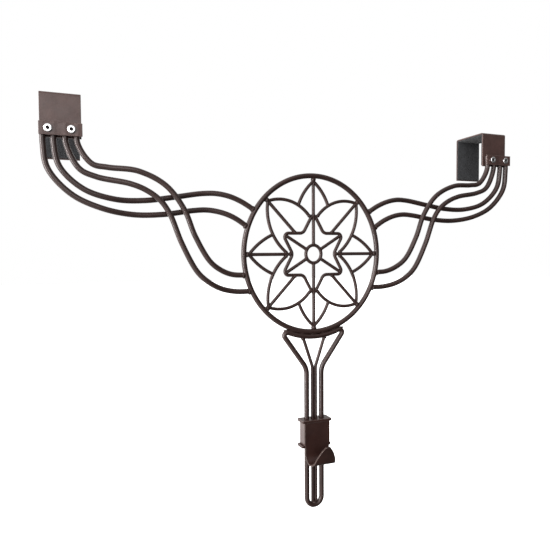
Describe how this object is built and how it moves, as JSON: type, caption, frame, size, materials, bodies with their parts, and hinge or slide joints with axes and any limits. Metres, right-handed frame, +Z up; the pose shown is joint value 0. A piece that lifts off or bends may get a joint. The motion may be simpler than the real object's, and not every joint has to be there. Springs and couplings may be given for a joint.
{
  "type": "over-the-door wreath hanger",
  "caption": "Over-the-door hanger: padded straps hook on a door's top, bent rods carry a ring with a wire flower, and a hook slides on the stem below.",
  "frame": {"origin": "middle of the door's top edge: halfway between the two straps, in the middle of the door's thickness, on the surface that the pads sit on", "axes": "+X along the door, +Y into the door (the hanger's front faces -Y), +Z up"},
  "size_m": [0.6766, 0.0924, 0.5244],
  "materials": {
    "bronze_coat": "dark bronze powder coat, semi-gloss",
    "foam": "matte dark slate foam lining",
    "rivet_steel": "bright blind rivet"
  },
  "bodies": {
    "frame": {"left_bracket": "bronze_coat", "right_bracket": "bronze_coat", "left_bracket_pad": "foam", "right_bracket_pad": "foam", "left_clamp_strip": "bronze_coat", "right_clamp_strip": "bronze_coat", "left_rivet_outer": "rivet_steel", "left_rivet_inner": "rivet_steel", "right_rivet_outer": "rivet_steel", "right_rivet_inner": "rivet_steel", "left_wire_1": "bronze_coat", "left_wire_2": "bronze_coat", "left_wire_3": "bronze_coat", "left_wire_4": "bronze_coat", "right_wire_1": "bronze_coat", "right_wire_2": "bronze_coat", "right_wire_3": "bronze_coat", "right_wire_4": "bronze_coat", "medallion_ring": "bronze_coat", "hub_ring": "bronze_coat", "star_wire": "bronze_coat", "hub_spoke_1": "bronze_coat", "hub_spoke_2": "bronze_coat", "hub_spoke_3": "bronze_coat", "hub_spoke_4": "bronze_coat", "hub_spoke_5": "bronze_coat", "hub_spoke_6": "bronze_coat", "diagonal_petal_1": "bronze_coat", "diagonal_petal_2": "bronze_coat", "diagonal_petal_3": "bronze_coat", "diagonal_petal_4": "bronze_coat", "cardinal_petal_1": "bronze_coat", "cardinal_petal_2": "bronze_coat", "cardinal_petal_3": "bronze_coat", "cardinal_petal_4": "bronze_coat", "midrib_1": "bronze_coat", "midrib_2": "bronze_coat", "midrib_3": "bronze_coat", "midrib_4": "bronze_coat", "midrib_5": "bronze_coat", "midrib_6": "bronze_coat", "midrib_7": "bronze_coat", "midrib_8": "bronze_coat", "stem_loop": "bronze_coat", "stem_inner_left": "bronze_coat", "stem_inner_right": "bronze_coat"},
    "slider": {"slider_top_plate": "bronze_coat", "slider_bottom_plate": "bronze_coat", "slider_channel": "bronze_coat", "hook_plate": "bronze_coat"}
  },
  "joints": [
    {"name": "hook_slide", "type": "slide", "parent": "frame", "child": "slider", "axis": [0, 0, 1], "range_m": [-0.07, 0.055]}
  ]
}
